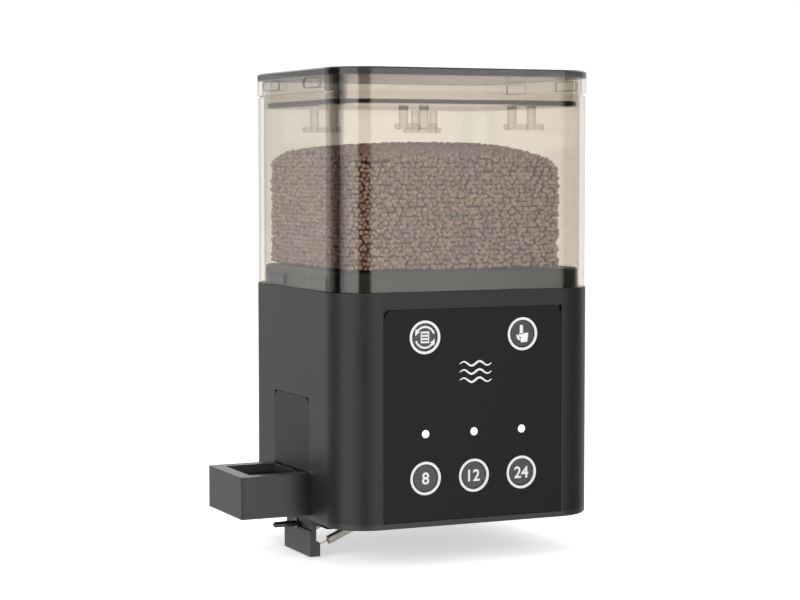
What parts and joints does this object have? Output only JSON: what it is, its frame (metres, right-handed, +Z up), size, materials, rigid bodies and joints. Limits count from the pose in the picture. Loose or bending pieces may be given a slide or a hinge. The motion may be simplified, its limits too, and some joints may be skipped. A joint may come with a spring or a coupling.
{
  "type": "automatic fish feeder",
  "caption": "Automatic fish feeder with a clear food hopper, a motor-driven dose drawer, push buttons and a sprung tank rim clamp.",
  "frame": {"origin": "centre of the rest pad's underside, below the middle of the body", "axes": "+Z up, +Y towards the back, +X to the right seen from the front; the dose drawer comes out towards -X"},
  "size_m": [0.1195, 0.086, 0.163],
  "materials": {
    "case_black": "fine matt texture",
    "panel_black": "satin sheet",
    "cover_black": "satin",
    "clear_smoke": "clear polished, smoke tint",
    "button_black": "gloss",
    "ring_white": "satin",
    "lens_white": "frosted",
    "silicone_grey": "matt",
    "rubber_black": "matt",
    "board_green": "solder mask",
    "component_black": "moulded",
    "steel": "bright",
    "spring_steel": "polished wire",
    "gear_white": "acetal",
    "brass": "machined",
    "fish_food": "pellets",
    "cell_wrap": "heat-shrunk film"
  },
  "bodies": {
    "root": {"case_shell": "case_black", "base_plate": "case_black", "rest_pad": "rubber_black", "base_screws": "steel", "front_panel": "panel_black", "button_rings": "ring_white", "led_lenses": "lens_white", "circuit_board": "board_green", "board_screws": "steel", "tact_switches": "component_black", "status_leds": "lens_white", "controller_chip": "component_black", "buzzer": "component_black", "battery_cell": "cell_wrap", "battery_cradle": "case_black", "charge_board": "board_green", "charge_port": "steel", "hopper_deck": "case_black", "food_chute": "case_black", "motor_gearbox": "brass", "motor_can": "steel", "motor_bracket": "case_black", "drawer_rails": "gear_white", "limit_switches": "component_black", "clamp_bracket": "case_black", "bracket_screws": "steel", "guide_pin": "steel", "clamp_springs": "spring_steel"},
    "hopper": {"hopper_shell": "clear_smoke"},
    "lid": {"lid_shell": "clear_smoke", "lid_gasket": "silicone_grey", "lid_snap_loops": "clear_smoke"},
    "chute_cover": {"chute_cover": "cover_black"},
    "drawer": {"drawer": "cover_black", "drawer_rack": "gear_white"},
    "dose_baffle": {"dose_baffle": "cover_black"},
    "pinion": {"drive_pinion": "gear_white", "motor_shaft": "steel"},
    "jaw": {"clamp_jaw": "cover_black", "guide_bush": "cover_black", "jaw_pad": "rubber_black"},
    "button_left": {"button_left": "button_black"},
    "button_middle": {"button_middle": "button_black"},
    "button_right": {"button_right": "button_black"},
    "button_timer": {"button_timer": "button_black"},
    "button_feed": {"button_feed": "button_black"}
  },
  "joints": [
    {"name": "drawer_slide", "type": "slide", "parent": "root", "child": "drawer", "axis": [1, 0, 0], "range_m": [0, 0.0235]},
    {"name": "pinion_spin", "type": "hinge", "parent": "root", "child": "pinion", "pos_m": [0.006, 0, 0.0234], "axis": [0, 1, 0], "range_deg": [-230, 0]},
    {"name": "baffle_slide", "type": "slide", "parent": "drawer", "child": "dose_baffle", "axis": [-1, 0, 0], "range_m": [0, 0.01]},
    {"name": "hopper_lift", "type": "slide", "parent": "root", "child": "hopper", "axis": [0, 0, 1], "range_m": [0, 0.06]},
    {"name": "lid_lift", "type": "slide", "parent": "hopper", "child": "lid", "axis": [0, 0, 1], "range_m": [0, 0.05]},
    {"name": "cover_pull", "type": "slide", "parent": "root", "child": "chute_cover", "axis": [-1, 0, 0], "range_m": [0, 0.02]},
    {"name": "jaw_slide", "type": "slide", "parent": "root", "child": "jaw", "axis": [-1, 0, 0], "range_m": [0, 0.008], "stiffness_N_per_m": 250, "springref_m": -0.012, "deforming": ["clamp_springs"]},
    {"name": "press_left", "type": "slide", "parent": "root", "child": "button_left", "axis": [0, 1, 0], "range_m": [0, 0.0005], "stiffness_N_per_m": 600, "springref_m": -0.0004},
    {"name": "press_middle", "type": "slide", "parent": "root", "child": "button_middle", "axis": [0, 1, 0], "range_m": [0, 0.0005], "stiffness_N_per_m": 600, "springref_m": -0.0004},
    {"name": "press_right", "type": "slide", "parent": "root", "child": "button_right", "axis": [0, 1, 0], "range_m": [0, 0.0005], "stiffness_N_per_m": 600, "springref_m": -0.0004},
    {"name": "press_timer", "type": "slide", "parent": "root", "child": "button_timer", "axis": [0, 1, 0], "range_m": [0, 0.0005], "stiffness_N_per_m": 600, "springref_m": -0.0004},
    {"name": "press_feed", "type": "slide", "parent": "root", "child": "button_feed", "axis": [0, 1, 0], "range_m": [0, 0.0005], "stiffness_N_per_m": 600, "springref_m": -0.0004}
  ],
  "couplings": [
    {"joint": "pinion_spin", "follows": "drawer_slide", "rad_per_m": -156.25}
  ]
}
